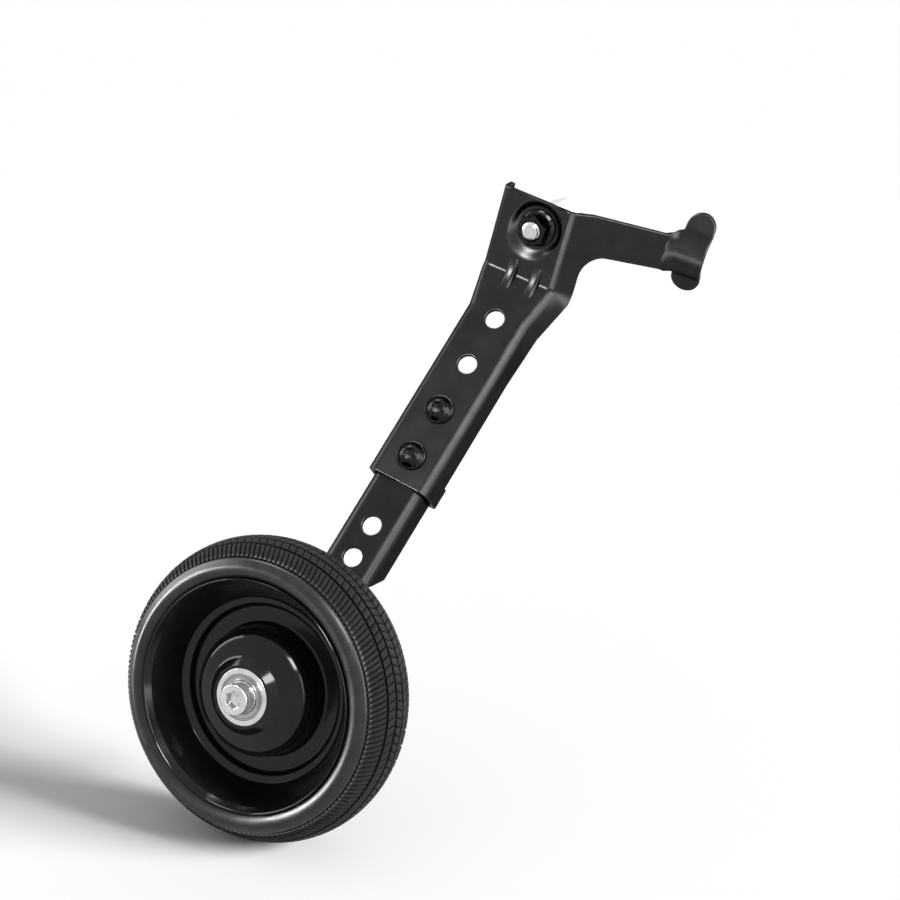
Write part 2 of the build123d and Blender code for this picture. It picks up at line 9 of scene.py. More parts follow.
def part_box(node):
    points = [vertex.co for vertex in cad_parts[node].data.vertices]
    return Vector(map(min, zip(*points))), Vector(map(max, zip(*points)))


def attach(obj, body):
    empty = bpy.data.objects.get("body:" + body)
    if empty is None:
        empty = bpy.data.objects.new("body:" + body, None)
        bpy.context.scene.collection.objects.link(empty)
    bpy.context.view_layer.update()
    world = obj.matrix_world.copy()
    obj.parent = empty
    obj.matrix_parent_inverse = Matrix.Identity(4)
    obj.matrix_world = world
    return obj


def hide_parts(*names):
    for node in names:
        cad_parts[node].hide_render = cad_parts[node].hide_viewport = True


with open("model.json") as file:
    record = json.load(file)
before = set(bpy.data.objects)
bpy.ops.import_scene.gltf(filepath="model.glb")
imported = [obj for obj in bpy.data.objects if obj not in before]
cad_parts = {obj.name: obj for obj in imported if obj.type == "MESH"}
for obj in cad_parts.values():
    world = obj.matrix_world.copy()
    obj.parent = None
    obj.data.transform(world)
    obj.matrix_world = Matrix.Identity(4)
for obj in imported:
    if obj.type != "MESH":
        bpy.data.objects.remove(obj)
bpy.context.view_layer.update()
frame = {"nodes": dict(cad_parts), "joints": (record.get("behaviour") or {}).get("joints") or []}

# Mounting bracket: one steel sheet, blanked, dished, creased and folded into a channel, with a side
# arm that saddles the chain stay. It is powder coated satin black and held on the bicycle's axle.
mm = 0.001
edge_break = 0.6 * mm
edge_turn = radians(32)
flat_span = 500 * mm * mm
flat_turn = radians(0.4)
bend_step = radians(25)
seam_gap = 0.003 * mm
weld_gap = 0.0005 * mm
grain_low = 0.3
grain_high = 0.7
coat_shine = (0.42, 0.42, 0.42, 1)


def new_finish(name, base, metallic, roughness, specular):
    """A finish with its plain values on the shader, and the place each point has in the piece."""
    finish = bpy.data.materials.new(name)
    finish.use_nodes = True
    shader = finish.node_tree.nodes["Principled BSDF"]
    shader.inputs["Base Color"].default_value = (*base, 1)
    shader.inputs["Metallic"].default_value = metallic
    shader.inputs["Roughness"].default_value = roughness
    shader.inputs["Specular IOR Level"].default_value = specular
    place = finish.node_tree.nodes.new("ShaderNodeTexCoord").outputs["Object"]
    return finish, finish.node_tree, shader, place


def speckle(tree, place, size, detail):
    """A cloudy grain with spots about this many millimetres across."""
    grain = tree.nodes.new("ShaderNodeTexNoise")
    grain.inputs["Scale"].default_value = 1 / (size * mm)
    grain.inputs["Detail"].default_value = detail
    tree.links.new(place, grain.inputs["Vector"])
    return grain.outputs["Fac"]


def spread(tree, grain, low, high, socket):
    """Lets the grain move a shader value between two ends."""
    span = tree.nodes.new("ShaderNodeMapRange")
    span.inputs["From Min"].default_value = grain_low
    span.inputs["From Max"].default_value = grain_high
    span.inputs["To Min"].default_value = low
    span.inputs["To Max"].default_value = high
    tree.links.new(grain, span.inputs["Value"])
    tree.links.new(span.outputs["Result"], socket)


def tint(tree, grain, dark, light, socket):
    """Lets the grain move a colour between two shades."""
    shades = tree.nodes.new("ShaderNodeValToRGB")
    shades.color_ramp.elements[0].position = grain_low
    shades.color_ramp.elements[0].color = (*dark, 1)
    shades.color_ramp.elements[1].position = grain_high
    shades.color_ramp.elements[1].color = (*light, 1)
    tree.links.new(grain, shades.inputs["Fac"])
    tree.links.new(shades.outputs["Color"], socket)


def relief(tree, grain, height, shader):
    """Raises the surface by this many millimetres where the grain is strong."""
    bump = tree.nodes.new("ShaderNodeBump")
    bump.inputs["Strength"].default_value = 1
    bump.inputs["Distance"].default_value = height * mm
    tree.links.new(grain, bump.inputs["Height"])
    tree.links.new(bump.outputs["Normal"], shader.inputs["Normal"])


def powder_coat():
    """Satin black powder coat: a fine orange peel, with patches that shine a little more."""
    finish, tree, shader, place = new_finish(
        "satin_powder_coat", base=(0.026, 0.026, 0.0266), metallic=1, roughness=0.29, specular=0.5)
    shader.inputs["Specular Tint"].default_value = coat_shine
    spread(tree, speckle(tree, place, size=22, detail=3), 0.25, 0.33, shader.inputs["Roughness"])
    tint(tree, speckle(tree, place, size=9, detail=4), (0.023, 0.023, 0.0236), (0.029, 0.029, 0.0297),
         shader.inputs["Base Color"])
    relief(tree, speckle(tree, place, size=1.1, detail=2), 0.02, shader)
    return finish


def thin_coat_with_painted_edge_highlight():
    """The coat on a broken edge, lighter than the faces all along it: partly a thin coat, smoother and
    greyer where it is rubbed, and partly a painted highlight along the edge.
    """
    finish, tree, shader, place = new_finish(
        "rubbed_coat_and_painted_highlight_edges", base=(0.06, 0.06, 0.061), metallic=1, roughness=0.3, specular=0.5)
    shader.inputs["Specular Tint"].default_value = coat_shine
    spread(tree, speckle(tree, place, size=3, detail=3), 0.24, 0.38, shader.inputs["Roughness"])
    tint(tree, speckle(tree, place, size=2.2, detail=4), (0.035, 0.035, 0.036), (0.065, 0.065, 0.067),
         shader.inputs["Base Color"])
    return finish


coat = powder_coat()
# The edge coat is lighter than the face coat: rubbed wear plus a painted highlight on every broken edge.
edge_wear_and_highlight_coat = thin_coat_with_painted_edge_highlight()


def set_facing(mesh, form):
    """Shades the flats dead flat with the bends running out of them, and pressed faces by their form."""
    ways = [tuple(round(part, 2) for part in face.normal) for face in mesh.polygons]
    spans = {}
    for face, way in zip(mesh.polygons, ways):
        spans[way] = spans.get(way, 0) + face.area
    flats = {}
    for face, way in zip(mesh.polygons, ways):
        if spans[way] > flat_span:
            for point in face.vertices:
                flats.setdefault(point, []).append(face.normal.copy())
    facing = [corner.vector.copy() for corner in mesh.corner_normals]
    for face, way in zip(mesh.polygons, ways):
        for corner in face.loop_indices:
            point = mesh.loops[corner].vertex_index
            near = max(flats.get(point, ()), key=face.normal.dot, default=None)
            if spans[way] > flat_span:
                facing[corner] = face.normal.copy()
            elif near and near.dot(face.normal) > cos(bend_step):
                facing[corner] = near
            if form:
                facing[corner] = form(face, mesh.vertices[point].co) or facing[corner]
    mesh.normals_split_custom_set(facing)


def folded_sheet(name, node, body, press=None, form=None):
    """A sheet piece on its solid's faces, with the outer edges broken and the flats kept flat. The
    press may move its points, and the form gives the true direction of a curved face."""
    mesh = frame["nodes"][node].data.copy()
    mesh.name = name
    shape = bmesh.new()
    shape.from_mesh(mesh)
    bmesh.ops.remove_doubles(shape, verts=shape.verts, dist=seam_gap)
    bmesh.ops.dissolve_limit(shape, angle_limit=flat_turn, verts=shape.verts, edges=shape.edges)
    pierced = [face for face in shape.faces if len(face.verts) > 4]
    bmesh.ops.triangulate(shape, faces=pierced, ngon_method="BEAUTY")
    if press:
        press(shape)
    outer_edge = shape.edges.layers.float.new("bevel_weight_edge")
    for edge in shape.edges:
        turn = edge.calc_face_angle_signed(0)
        edge[outer_edge] = 1 if turn > edge_turn else 0
        edge.smooth = turn > -edge_turn
    for face in shape.faces:
        face.smooth = True
    shape.to_mesh(mesh)
    shape.free()
    if "custom_normal" in mesh.attributes:
        mesh.attributes.remove(mesh.attributes["custom_normal"])
    mesh.materials.clear()
    mesh.materials.append(coat)
    mesh.materials.append(edge_wear_and_highlight_coat)
    piece = bpy.data.objects.new(name, mesh)
    bpy.context.scene.collection.objects.link(piece)
    broken = piece.modifiers.new("broken_edges", "BEVEL")
    broken.width = edge_break
    broken.segments = 3
    broken.limit_method = "WEIGHT"
    broken.use_clamp_overlap = False
    broken.loop_slide = False
    broken.harden_normals = True
    # The bevel's faces take the lighter edge coat: a painted highlight along with the rubbed wear.
    broken.material = 1
    flats = piece.modifiers.new("flat_faces", "WEIGHTED_NORMAL")
    flats.keep_sharp = True
    done = piece.evaluated_get(bpy.context.evaluated_depsgraph_get())
    mesh = bpy.data.meshes.new_from_object(done)
    piece.modifiers.clear()
    piece.data = mesh
    set_facing(mesh, form)
    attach(piece, body)
    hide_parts(node)
    return piece


plate_reach = 39.2
rake = radians(15.6)
plate_place = Matrix((
    (cos(rake), sin(rake), 0, 0),
    (0, 0, -1, -plate_reach * mm),
    (-sin(rake), cos(rake), 0, 0),
    (0, 0, 0, 1),
))
from_plate = plate_place.inverted()
dish_floor = 11.5
dish_mouth = 14.9
dish_spread = 5.6
dish_lean = radians(-115)
dish_depth = 2.2
crease_drop = 29.3
arm_slope = radians(39.8)
gusset_leg = 9.0
gusset_offset = 7.0
gusset_half_width = 3.0
gusset_round = 2.2
gusset_slack = 0.1
gusset_run_out = 1.0
bend_start = 13.0
plate_slack = 0.02
dish_slack = 0.05
press_reach = 22.0
press_step = 1.2
press_columns = (-20, 28)
press_rows = (-22, 26)
front_lean = 0.2
slope_lean = 0.6


def dish_height(x, y):
    """How deep the dish is at a place on the plate. It was pressed with a long slope below its left."""
    edge = dish_mouth + dish_spread * max(0, cos(atan2(y, x) - dish_lean)) ** 2
    share = min(1, max(0, (sqrt(x * x + y * y) - dish_floor) / (edge - dish_floor)))
    return -dish_depth * (1 - share * share * (3 - 2 * share))


def press_dish(shape):
    """Cuts the plate's front face into a grid about the dish, and lays it on the dish's slope."""
    front = [face for face in shape.faces
             if all(abs((from_plate @ point.co).z) < plate_slack * mm for point in face.verts)]
    pieces = front + list({part for face in front for part in list(face.edges) + list(face.verts)})
    for across, (start, count) in ((Vector((1, 0, 0)), press_columns), (Vector((0, 1, 0)), press_rows)):
        for step in range(count):
            line = plate_place @ (across * (start + press_step * step) * mm)
            cut = bmesh.ops.bisect_plane(shape, geom=pieces, dist=weld_gap, plane_co=line,
                                         plane_no=plate_place.to_3x3() @ across)
            pieces = cut["geom"]
    for point in shape.verts:
        x, y, z = (from_plate @ point.co) / mm
        seen = any((from_plate.to_3x3() @ face.normal).z > front_lean for face in point.link_faces)
        level = -dish_depth - dish_slack < z < plate_slack
        if seen and level and dish_floor < sqrt(x * x + y * y) < press_reach:
            point.co = plate_place @ (Vector((x, y, dish_height(x, y))) * mm)


def pressed_form(face, here):
    """The direction the dish's slope or a gusset rib's round faces, and nothing for the other faces."""
    x, y, z = (from_plate @ here) / mm
    middle = (from_plate @ face.center) / mm
    outward = from_plate.to_3x3() @ face.normal
    reach = sqrt(middle.x ** 2 + middle.y ** 2)
    in_dish = -dish_depth < middle.z < dish_slack and dish_floor < reach < press_reach
    if outward.z > slope_lean and in_dish and middle.x < bend_start:
        gap = dish_slack
        slope_x = (dish_height(x + gap, y) - dish_height(x - gap, y)) / (2 * gap)
        slope_y = (dish_height(x, y + gap) - dish_height(x, y - gap)) / (2 * gap)
        return plate_place.to_3x3() @ Vector((-slope_x, -slope_y, 1)).normalized()
    below = (middle.y + crease_drop) * sin(arm_slope) + middle.z * cos(arm_slope)
    side = 1 if x > 0 else -1
    off = x - side * gusset_offset
    on_side = abs(middle.x - side * gusset_offset) < gusset_half_width + gusset_slack
    on_leg = abs(middle.y + crease_drop) < gusset_leg + gusset_run_out
    if min(middle.z, below) > gusset_slack and on_side and on_leg:
        run = (y + crease_drop - gusset_leg) * -cos(arm_slope / 2) + z * sin(arm_slope / 2)
        share = min(1, max(0, run / (2 * gusset_leg * cos(arm_slope / 2))))
        ridge = Vector((0, sin(arm_slope * share), cos(arm_slope * share)))
        flat = gusset_half_width - gusset_round
        round_share = min(1, max(0, (abs(off) - flat) / gusset_round))
        over = Vector((1 if off > 0 else -1, 0, 0))
        return plate_place.to_3x3() @ (ridge * sqrt(1 - round_share ** 2) + over * round_share)
    return None


bracket = folded_sheet("folded_bracket", "mounting_bracket", "bracket_arm", press_dish, pressed_form)

# Lower arm: a narrower folded steel channel that slides in the sleeve, with its foot bent parallel
# to the wheel. It has the same satin black powder coat.
arm = folded_sheet("sliding_arm", "lower_arm", "bracket_arm")

# Axle coupler: a length of bright zinc-plated hexagon bar, tapped at the back for the bicycle's axle,
# with a threaded stud turned on its front that passes through the bracket's dish.


def zinc_plate():
    """Bright zinc: pale metal with fine drawing marks and slightly dull patches."""
    finish, tree, shader, place = new_finish(
        "bright_zinc", base=(0.6, 0.6, 0.595), metallic=1, roughness=0.28, specular=0.5)
    spread(tree, speckle(tree, place, size=3, detail=3), 0.18, 0.34, shader.inputs["Roughness"])
    tint(tree, speckle(tree, place, size=5, detail=4), (0.52, 0.52, 0.515), (0.68, 0.68, 0.675),
         shader.inputs["Base Color"])
    relief(tree, speckle(tree, place, size=0.5, detail=3), 0.008, shader)
    return finish


zinc = zinc_plate()
thread_pitch = 1.25
thread_foot = 0.45
thread_flat = 0.07
knurl_depth = 0.22


def hex_radius(flat, turn):
    """How far out a hexagon's side is at this turn, from the distance to its flats."""
    return flat / cos((turn + pi / 6) % (pi / 3) - pi / 6)


def turn_piece(shape, place, outline, around):
    """Turns a closed outline of (radius, height, kind) about the place's axis. A hex ring has flats
    at the radius. A crown ring is one whose corners are turned down by 30 degrees, a foot ring has
    them turned up, and a knurl ring has fine grooves."""
    rings = []
    for radius, height, kind in outline:
        ring = []
        for step in range(around):
            turn = 2 * pi * step / around
            reach = radius if kind == "round" else hex_radius(radius, turn)
            drop = (reach - radius) * tan(pi / 6)
            rise = {"crown": -drop, "foot": drop}.get(kind, 0)
            if kind == "knurl":
                reach = radius - knurl_depth * (step % 2)
                rise = 0
            ring.append(shape.verts.new(place @ Vector((
                reach * mm * cos(turn), reach * mm * sin(turn), (height + rise) * mm))))
        rings.append(ring)
    for index, ring in enumerate(rings):
        ahead = rings[(index + 1) % len(rings)]
        for step in range(around):
            side = (step + 1) % around
            shape.faces.new((ring[step], ahead[step], ahead[side], ring[side]))


def rounded(corners, kind="round", steps=4):
    """The points of a closed outline of (x, y, radius) corners, with arcs at its rounded corners."""
    points = []
    for index, (x, y, radius) in enumerate(corners):
        here = Vector((x, y))
        if radius == 0:
            points.append((x, y, kind))
            continue
        back = (Vector(corners[index - 1][:2]) - here).normalized()
        ahead = (Vector(corners[(index + 1) % len(corners)][:2]) - here).normalized()
        half = back.angle(ahead) / 2
        centre = here + (back + ahead).normalized() * (radius / sin(half))
        start = here + back * (radius / tan(half)) - centre
        end = here + ahead * (radius / tan(half)) - centre
        first = atan2(start.y, start.x)
        sweep = (atan2(end.y, end.x) - first + pi) % (2 * pi) - pi
        for step in range(steps + 1):
            turn = first + sweep * step / steps
            points.append((centre.x + radius * cos(turn), centre.y + radius * sin(turn), kind))
    return points


def thread_ridge(shape, place, root, crest, low, high, around=36):
    """A screw thread's ridge from root to crest radius, wound from low to high and run out at its ends."""
    turns = (high - low) / thread_pitch - 2 * thread_foot
    count = int(turns * around)
    last = None
    for step in range(count + 1):
        turn = 2 * pi * step / around
        middle = low + thread_pitch * (thread_foot + step / around)
        run_out = min(1, step / (around / 2), (count - step) / (around / 2))
        tip = root + (crest - root) * run_out
        section = [(root, -thread_foot), (tip, -thread_flat), (tip, thread_flat), (root, thread_foot)]
        row = [shape.verts.new(place @ Vector((
            radius * mm * cos(turn), radius * mm * sin(turn), (middle + share * thread_pitch) * mm)))
            for radius, share in section]
        if last:
            for side in range(3):
                shape.faces.new((last[side], last[side + 1], row[side + 1], row[side]))
        last = row


def make_piece(name, shape, finish, body, nodes, sharp=32):
    """Closes a shape's seams, shades it by its corners, and sets it on its body in its nodes' place."""
    bmesh.ops.remove_doubles(shape, verts=shape.verts, dist=weld_gap)
    bmesh.ops.dissolve_degenerate(shape, dist=weld_gap, edges=shape.edges)
    bmesh.ops.recalc_face_normals(shape, faces=shape.faces)
    mesh = bpy.data.meshes.new(name)
    shape.to_mesh(mesh)
    shape.free()
    mesh.shade_smooth()
    mesh.set_sharp_from_angle(angle=radians(sharp))
    mesh.materials.append(finish)
    piece = bpy.data.objects.new(name, mesh)
    bpy.context.scene.collection.objects.link(piece)
    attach(piece, body)
    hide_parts(*nodes)
    return piece


coupler = bmesh.new()
turn_piece(coupler, plate_place, [
    (0, -17.2, "round"), (4.0, -17.8, "round"), (4.95, -19.0, "round"), (4.95, -38.4, "round"),
    (5.6, -39.2, "round"), (8.2, -39.2, "round"), (8.5, -39.1, "foot"), (8.5, -5.3, "crown"),
    (8.2, -5.2, "round"), (4.9, -5.2, "round"), (4.35, -4.6, "round"), (4.35, 8.5, "round"),
    (3.7, 9.1, "round"), (3.2, 9.2, "round"), (0, 9.2, "round")], 48)
thread_ridge(coupler, plate_place, root=4.3, crest=4.98, low=-4.8, high=9.0)
thread_ridge(coupler, plate_place, root=4.97, crest=4.5, low=-38.9, high=-18.6)
make_piece("axle_coupler", coupler, zinc, "bracket_arm", ["axle_extension"])

# Axle nut: a flanged hexagon nut in black-oxide steel. It is run down the coupler's stud and pulls
# the bracket's dish against the coupler.


def black_oxide():
    """Black-oxide steel: oily dark metal, glossier in patches, with a trace of bare steel."""
    finish, tree, shader, place = new_finish(
        "black_oxide_steel", base=(0.02, 0.02, 0.021), metallic=1, roughness=0.2, specular=0.5)
    shader.inputs["Specular Tint"].default_value = (0.5, 0.5, 0.5, 1)
    spread(tree, speckle(tree, place, size=2.5, detail=3), 0.14, 0.26, shader.inputs["Roughness"])
    tint(tree, speckle(tree, place, size=1.6, detail=4), (0.013, 0.013, 0.0135), (0.03, 0.03, 0.031),
         shader.inputs["Base Color"])
    relief(tree, speckle(tree, place, size=0.4, detail=2), 0.006, shader)
    return finish


black_steel = black_oxide()
axle_nut = bmesh.new()
turn_piece(axle_nut, plate_place, [
    (5.05, -2.2, "round"), (9.7, -2.2, "round"), (10, -1.9, "round"), (10, -1.1, "round"),
    (9.8, -0.75, "round"), (9.4, -0.5, "round"), (8.7, 0.25, "round"), (7.5, 0.4, "hex"),
    (7.5, 7.65, "crown"), (7.15, 7.8, "round"), (5.7, 7.8, "round"), (5.05, 7.2, "round")], 72)
flanged = make_piece("flange_nut", axle_nut, black_steel, "bracket_arm", ["axle_nut"])

# Clamp fasteners: two button-head socket screws in black steel, each with a plain washer under its
# head, and a washer and a hexagon nut inside the channel. They lock the arm in the sleeve.
arm_shift = -1.6
arm_skew = radians(2.2)
sleeve_place = (plate_place @ Matrix.Translation((0, -crease_drop * mm, 0))
                @ Matrix.Rotation(-arm_slope, 4, "X") @ Matrix.Translation((arm_shift * mm, 0, 0))
                @ Matrix.Rotation(-arm_skew, 4, "Z"))
clamp_drops = (84.9, 113.9)
head_ball = 7.768
head_top = 6.0
dome_radii = (3.25, 3.8, 4.4, 5.0, 5.6, 6.1, 6.5, 6.8)
washer_bore = 4.2
washer_edge = 8.0
washer_levels = ((0, 1.6), (-7.6, -6.0))


def head_height(radius):
    """How high the button head's dome is at this radius."""
    return head_top - head_ball + sqrt(head_ball ** 2 - radius ** 2)


screws = bmesh.new()
washers = bmesh.new()
nuts = bmesh.new()
for drop in clamp_drops:
    clamp_place = sleeve_place @ Matrix.Translation((0, -drop * mm, 0))
    dome = [(radius, head_height(radius), "round") for radius in dome_radii]
    turn_piece(screws, clamp_place, [
        (0, 2.7, "round"), (2.2, 3.2, "hex"), (2.5, 3.3, "hex"), (2.5, 5.2, "hex")] + dome + [
        (7.0, 1.85, "round"), (6.95, 1.65, "round"), (6.8, 1.6, "round"), (4.0, 1.6, "round"),
        (4.0, -5.2, "round"), (3.45, -5.9, "round"), (3.45, -17.6, "round"), (2.9, -18.4, "round"),
        (0, -18.4, "round")], 72)
    thread_ridge(screws, clamp_place, root=3.4, crest=3.97, low=-18.2, high=-5.3)
    for low, high in washer_levels:
        turn_piece(washers, clamp_place, rounded([
            (washer_bore, low, 0.25), (washer_edge, low, 0.5),
            (washer_edge, high, 0.5), (washer_bore, high, 0.25)]), 72)
    turn_piece(nuts, clamp_place, [
        (4.05, -14.1, "round"), (4.7, -14.1, "round"), (6.2, -14.1, "round"), (6.5, -14.0, "foot"),
        (6.5, -7.7, "crown"), (6.2, -7.6, "round"), (4.6, -7.6, "round"), (4.05, -8.1, "round")], 48)
buttons = make_piece("button_screws", screws, black_steel, "bracket_arm", ["clamp_bolts"])
washered = make_piece("plain_washers", washers, black_steel, "bracket_arm",
                      ["clamp_washers"])
make_piece("hexagon_nuts", nuts, black_steel, "bracket_arm", ["clamp_nuts"])

# Rim: one glossy black moulding, with a flared lip, a barrel, a stepped floor and a hat-shaped dome
# round the hub, and eight thin ribs behind. The tyre is stretched over its lips.
spin = next(joint for joint in frame["joints"] if joint["name"] == "wheel_spin")
axle_line = Vector(spin["axis"]).normalized()
wheel_side = Vector((0, 0, 1)).cross(axle_line).normalized()
wheel_place = Matrix.Translation(Vector(spin["pos_m"])) @ Matrix((
    wheel_side, axle_line.cross(wheel_side), axle_line)).transposed().to_4x4()


def gloss_moulding():
    """Glossy black moulded plastic with a faint waviness, fine dust-dull spots and flow marks."""
    finish, tree, shader, place = new_finish(
        "gloss_black_moulding", base=(0.008, 0.008, 0.0083), metallic=0, roughness=0.12, specular=0.25)
    spread(tree, speckle(tree, place, size=14, detail=4), 0.09, 0.16, shader.inputs["Roughness"])
    tint(tree, speckle(tree, place, size=18, detail=3), (0.0068, 0.0068, 0.0071), (0.0092, 0.0092, 0.0096),
         shader.inputs["Base Color"])
    relief(tree, speckle(tree, place, size=16, detail=1), 0.03, shader)
    return finish


moulding = gloss_moulding()
rim_outline = rounded([
    (16.4, 24, 0.4), (20.6, 19.3, 5), (33, 16.1, 9), (34.4, -1, 2), (44.3, -1, 2),
    (44.3, 3.5, 2), (48.5, 3.5, 2.4), (57.5, 19.8, 2.5), (59.4, 22.75, 0), (59.75, 23.4, 0),
    (60.15, 23.7, 0), (60.55, 23.4, 0), (60.8, 22.8, 0), (60.8, 19.5, 0.3), (58.9, 19.5, 0.4),
    (58.9, -19.5, 0.4), (60.8, -19.5, 0.3), (60.8, -22.8, 0), (60.55, -23.4, 0), (60.15, -23.7, 0),
    (59.75, -23.4, 0), (59.4, -22.75, 0), (55.9, -17.4, 2), (55.9, -5, 2), (29.8, -5, 2),
    (28.8, 11.5, 3), (17.5, 16, 3), (17.5, -22.8, 0.8), (16.3, -24, 0.3), (15.05, -24, 0.3),
    (15.05, -15, 0), (12, -15, 0.2), (12, 15, 0.2), (15.05, 15, 0), (15.05, 24, 0.3)], steps=7)
rim = bmesh.new()
turn_piece(rim, wheel_place, rim_outline, 288)
rib_count = 8
rib_half = 1.5
rib_edge = 0.5
rib_profile = [(16.7, -15.0), (16.7, 18.0), (25.8, 13.5), (31.3, 0), (32, -3), (56.7, -3), (56.7, -17.4)]
rib_ends = (0, len(rib_profile) - 1)
rib_sections = ((-rib_half, 0), (-rib_half + rib_edge, -rib_edge),
                (rib_half - rib_edge, -rib_edge), (rib_half, 0))
for index in range(rib_count):
    rib_place = wheel_place @ Matrix.Rotation(2 * pi * index / rib_count, 4, "Z")
    faces = []
    for side, inset in rib_sections:
        faces.append([rim.verts.new(rib_place @ (Vector((
            radius, side, height + (inset if number in rib_ends else 0))) * mm))
            for number, (radius, height) in enumerate(rib_profile)])
    rim.faces.new(list(reversed(faces[0])))
    rim.faces.new(faces[-1])
    for first, second in zip(faces, faces[1:]):
        for corner in range(len(rib_profile)):
            ahead = (corner + 1) % len(rib_profile)
            rim.faces.new((first[corner], first[ahead], second[ahead], second[corner]))
make_piece("moulded_rim", rim, moulding, "wheel", ["rim"], sharp=40)

# Tyre: a solid rubber tyre with smooth sidewalls, slanted ribs over each shoulder and rows of small
# blocks across the crown. The tread is moulded with the tyre, on a carcass below the blocks' tops.
rubber_patch = 0.06


def black_rubber(name, base, roughness, specular):
    """Black rubber, a little greyer in patches, with a fine pebbled skin."""
    finish, tree, shader, place = new_finish(
        name, base=(base, base, base), metallic=0, roughness=roughness, specular=specular)
    spread(tree, speckle(tree, place, size=8, detail=4), roughness - rubber_patch, roughness + rubber_patch,
           shader.inputs["Roughness"])
    tint(tree, speckle(tree, place, size=12, detail=5), (0.75 * base,) * 3, (1.25 * base,) * 3,
         shader.inputs["Base Color"])
    relief(tree, speckle(tree, place, size=0.7, detail=3), 0.02, shader)
    return finish


sidewall_rubber = black_rubber("smooth_sidewall_rubber", base=0.013, roughness=0.31, specular=0.34)
tread_rubber = black_rubber("scuffed_tread_rubber", base=0.012, roughness=0.6, specular=0.1)
groove_depth = 1.3
crown_radius = 80.0
crown = (crown_radius, 0)
tread_edge = (76, 14)
shoulder = (73, 17.5)
bulge = (66.4, 23.95)
bead = (60.9, 21.7)
bead_side = 19.4
seat_radius = 59.0
skin_steps = 60
sidewall_reach = 72.4
tread_end = 22.2
groove_fade = 1.6
slot_lean = tan(radians(24))
lean_height = 14.0


def bowed(start, end, bow, steps):
    """Points of an arc from start to end that bows out to its left by this much at its middle."""
    chord = Vector(end) - Vector(start)
    side = Vector((-chord.y, chord.x)).normalized()
    return [Vector(start) + chord * share + side * (4 * bow * share * (1 - share))
            for share in (step / steps for step in range(steps))]


half_skin = (bowed(crown, tread_edge, bow=-1.0, steps=12) + bowed(tread_edge, shoulder, bow=-0.5, steps=6)
             + bowed(shoulder, bulge, bow=-1.1, steps=14) + bowed(bulge, bead, bow=-0.65, steps=10)
             + [Vector(bead)])
skin_runs = [0.0]
for first, second in zip(half_skin, half_skin[1:]):
    skin_runs.append(skin_runs[-1] + (second - first).length)


def skin_at(run):
    """The place and outward direction on the tyre's skin at this run over the skin from the crown."""
    side = 1 if run >= 0 else -1
    run = min(abs(run), skin_runs[-1] - 1e-6)
    index = max(number for number, start in enumerate(skin_runs[:-1]) if start <= run)
    share = (run - skin_runs[index]) / (skin_runs[index + 1] - skin_runs[index])
    point = half_skin[index].lerp(half_skin[index + 1], share)
    along = (half_skin[index + 1] - half_skin[index]).normalized()
    return Vector((point.x, side * point.y)), Vector((along.y, -side * along.x))


def on_tyre(around, run, depth):
    """A point of the tyre at this way round in radians, run over the skin and depth under it."""
    point, outward = skin_at(run)
    point = point - outward * depth
    return wheel_place @ (Vector((point.x * cos(around), point.x * sin(around), point.y)) * mm)


def groove_floor(run):
    """How far the carcass lies under the skin: groove deep in the tread, and level on the sidewall."""
    return groove_depth * min(1, max(0, (tread_end + groove_fade - abs(run)) / groove_fade))


tyre = bmesh.new()
carcass = []
for number in range(-skin_steps, skin_steps + 1):
    run = skin_runs[-1] * number / skin_steps
    point, outward = skin_at(run)
    point = point - outward * groove_floor(run)
    carcass.append((point.x, point.y, "round"))
carcass += [(bead[0], bead_side, "round"), (seat_radius, bead_side, "round"),
            (seat_radius, -bead_side, "round"), (bead[0], -bead_side, "round")]
turn_piece(tyre, wheel_place, carcass, 240)
block_step = 1.6
block_ease = 0.28
block_sink = 0.2
block_flare = 0.12


def tread_block(around, start, end, lean, width):
    """A raised block from one run over the skin to another, with its top edges eased. It leans round
    the tyre by this much for each millimetre across."""
    steps = max(2, int(abs(end - start) / block_step))
    root = groove_depth + block_sink
    runs = [(start, True), (start + block_ease, False)]
    runs += [(start + (end - start) * step / steps, False) for step in range(1, steps)]
    runs += [(end - block_ease, False), (end, True)]
    rows = []
    for run, low in runs:
        middle = around - lean * (abs(skin_at(run)[0].y) - lean_height) / crown_radius
        half = width / 2
        depths = [root, block_ease, 0, 0, block_ease, root]
        offsets = [-half - block_flare, -half, -half + block_ease,
                   half - block_ease, half, half + block_flare]
        rows.append([tyre.verts.new(on_tyre(middle + offset / crown_radius, run, root if low else depth))
                     for offset, depth in zip(offsets, depths)])
    for first, second in zip(rows, rows[1:]):
        for side in range(5):
            tyre.faces.new((first[side], first[side + 1], second[side + 1], second[side]))


slot_count = 56
shoulder_pitch = 2 * pi * tread_edge[0] / (3 * slot_count)
shoulder_gaps = ((1 / 6, 0.8), (1 / 2, 0.7), (5 / 6, 0.8))
shoulder_runs = (12.1, 22.6)
for index in range(slot_count):
    for share, gap in shoulder_gaps:
        around = 2 * pi * (index + share) / slot_count
        width = shoulder_pitch - gap
        for side in (-1, 1):
            tread_block(around, *sorted(side * run for run in shoulder_runs), slot_lean, width)
row_edges = (0.4, 5.25, 6.05, 11.2)
block_count = 2 * slot_count
block_width = 3.85
for index in range(block_count):
    for row, (start, end) in enumerate((row_edges[:2], row_edges[2:])):
        around = 2 * pi * (index + 0.5 * row) / block_count
        for side in (-1, 1):
            lean = slot_lean if row else -slot_lean
            tread_block(around, *sorted((side * start, side * end)), lean, block_width)
treaded = make_piece("treaded_tyre", tyre, tread_rubber, "wheel", ["tyre"], sharp=50)
treaded.data.materials.append(sidewall_rubber)
wheel_middle = wheel_place.translation
for face in treaded.data.polygons:
    reach = face.center - wheel_middle
    height = reach.dot(axle_line)
    if (reach - axle_line * height).length < sidewall_reach * mm and abs(height) > shoulder[1] * mm:
        face.material_index = 1

# Two ball bearings: ground steel rings with pressed steel shields, balls in a pressed cage between
# them. The outer rings are pushed into the hub and turn with it.


